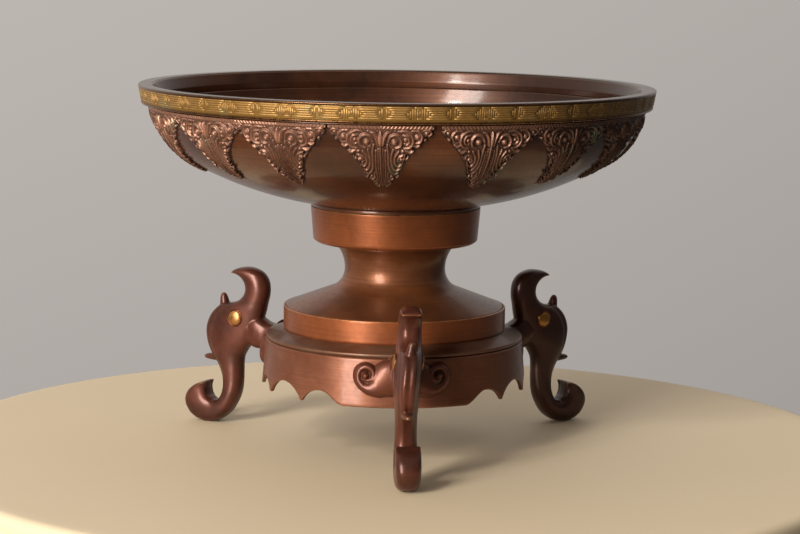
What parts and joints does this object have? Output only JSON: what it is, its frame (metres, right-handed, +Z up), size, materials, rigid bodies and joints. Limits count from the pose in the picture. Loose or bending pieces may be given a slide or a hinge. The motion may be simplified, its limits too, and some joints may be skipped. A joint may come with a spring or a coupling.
{
  "type": "footed flower basin",
  "caption": "Footed bronze basin: a wide turned bowl with a fret band and hanging lappets, lifting out of a waisted pedestal that seats in a stand on scrolled beast-head legs.",
  "frame": {"origin": "on the table, under the axis of the basin, level with the soles of the feet", "axes": "+Z up along the basin's axis; -Y out along leg_front; +X to the right seen from the front"},
  "size_m": [0.2997, 0.2998, 0.211],
  "materials": {
    "bowl_bronze": "satin red-brown patina over turned bronze",
    "rim_bronze": "worn grey-brown polished rim",
    "fret_gilt": "brass-gold fret lines on a brown ground",
    "lappet_bronze": "cast relief, rubbed copper tops over dark recesses",
    "collar_bronze": "coppery turned bronze with fine turning lines",
    "column_bronze": "dark brown patina, turned",
    "ledge_bronze": "dull grey-brown patina",
    "apron_bronze": "pinkish copper-brown patina",
    "leg_bronze": "satin red-brown patina, gold where it is worn",
    "volute_bronze": "satin copper-brown patina",
    "eye_gilt": "bright gilt",
    "rivet_bronze": "raw bronze"
  },
  "bodies": {
    "stand": {"ledge_ring": "ledge_bronze", "apron": "apron_bronze", "leg_front": "leg_bronze", "leg_right": "leg_bronze", "leg_left": "leg_bronze", "eye_front_a": "eye_gilt", "eye_front_b": "eye_gilt", "eye_right_a": "eye_gilt", "eye_right_b": "eye_gilt", "eye_left_a": "eye_gilt", "eye_left_b": "eye_gilt", "volute_front_a": "volute_bronze", "volute_front_b": "volute_bronze", "volute_right_a": "volute_bronze", "volute_right_b": "volute_bronze", "volute_left_a": "volute_bronze", "volute_left_b": "volute_bronze", "leg_rivets": "rivet_bronze"},
    "pedestal": {"collar_cup": "collar_bronze", "pedestal_column": "column_bronze", "drum_ring": "collar_bronze"},
    "basin": {"basin_bowl": "bowl_bronze", "rim_ring": "rim_bronze", "fret_band": "fret_gilt", "foot_ring": "bowl_bronze", "lappet_01": "lappet_bronze", "lappet_02": "lappet_bronze", "lappet_03": "lappet_bronze", "lappet_04": "lappet_bronze", "lappet_05": "lappet_bronze", "lappet_06": "lappet_bronze", "lappet_07": "lappet_bronze", "lappet_08": "lappet_bronze", "lappet_09": "lappet_bronze", "lappet_10": "lappet_bronze", "lappet_11": "lappet_bronze", "lappet_12": "lappet_bronze", "lappet_13": "lappet_bronze", "lappet_14": "lappet_bronze", "lappet_15": "lappet_bronze", "lappet_16": "lappet_bronze"}
  },
  "joints": [
    {"name": "pedestal_lift", "type": "slide", "parent": "stand", "child": "pedestal", "axis": [0, 0, 1], "range_m": [0, 0.06]},
    {"name": "basin_lift", "type": "slide", "parent": "pedestal", "child": "basin", "axis": [0, 0, 1], "range_m": [0, 0.06]}
  ]
}
